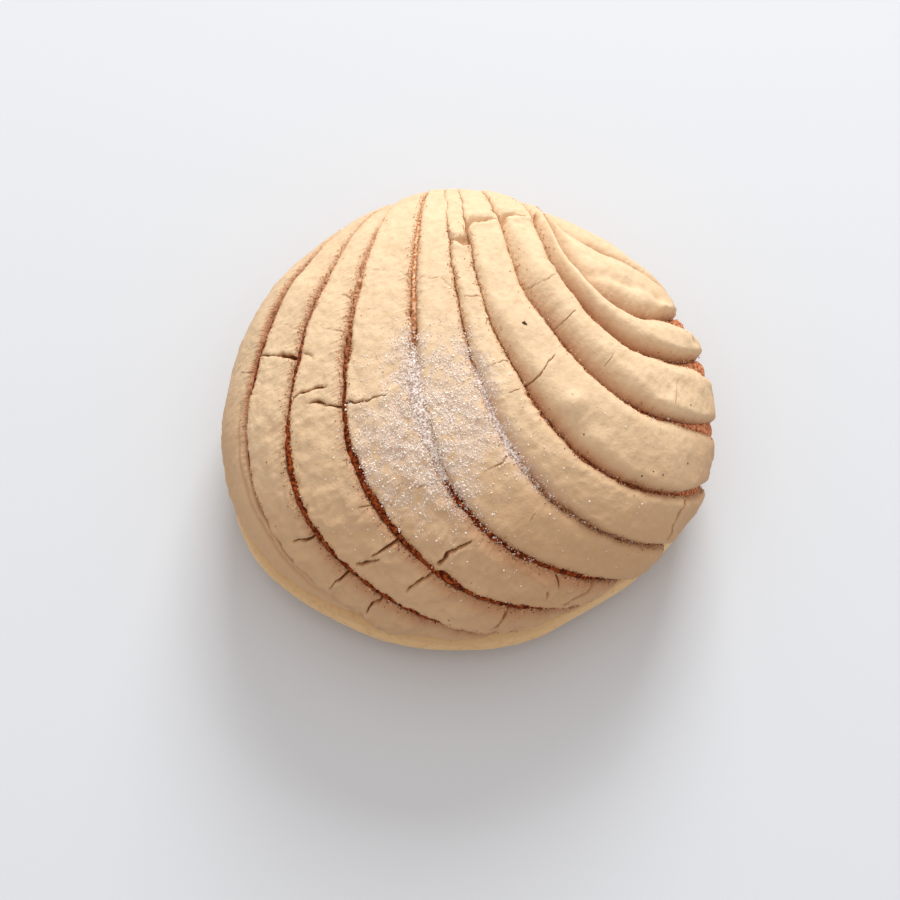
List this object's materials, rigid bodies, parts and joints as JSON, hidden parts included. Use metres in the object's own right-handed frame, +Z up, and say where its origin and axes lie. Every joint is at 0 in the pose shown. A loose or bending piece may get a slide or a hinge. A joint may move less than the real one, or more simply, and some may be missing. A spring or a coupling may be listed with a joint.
{
  "type": "concha sweet bun",
  "caption": "Round domed sweet bun with a pale sugar-paste crust scored into curved strips like a scallop shell, on a flat base.",
  "frame": {"origin": "middle of the bounding box, on the surface that the bun stands on", "axes": "+Z up from the flat base, +Y towards the hinge of the shell pattern, +X to the right with the hinge at the back"},
  "size_m": [0.1157, 0.1126, 0.051],
  "materials": {
    "bun_crust": "baked golden brown bread crust",
    "sugar_paste": "dry baked sugar paste",
    "sugar_grains": "granulated sugar crystals"
  },
  "bodies": {
    "root": {"bun": "bun_crust", "paste_strip_01": "sugar_paste", "paste_strip_02": "sugar_paste", "paste_strip_03": "sugar_paste", "paste_strip_04": "sugar_paste", "paste_strip_05": "sugar_paste", "paste_strip_06": "sugar_paste", "paste_strip_07": "sugar_paste", "paste_strip_08": "sugar_paste", "paste_strip_09": "sugar_paste", "paste_strip_10": "sugar_paste", "paste_strip_11": "sugar_paste"}
  },
  "joints": []
}
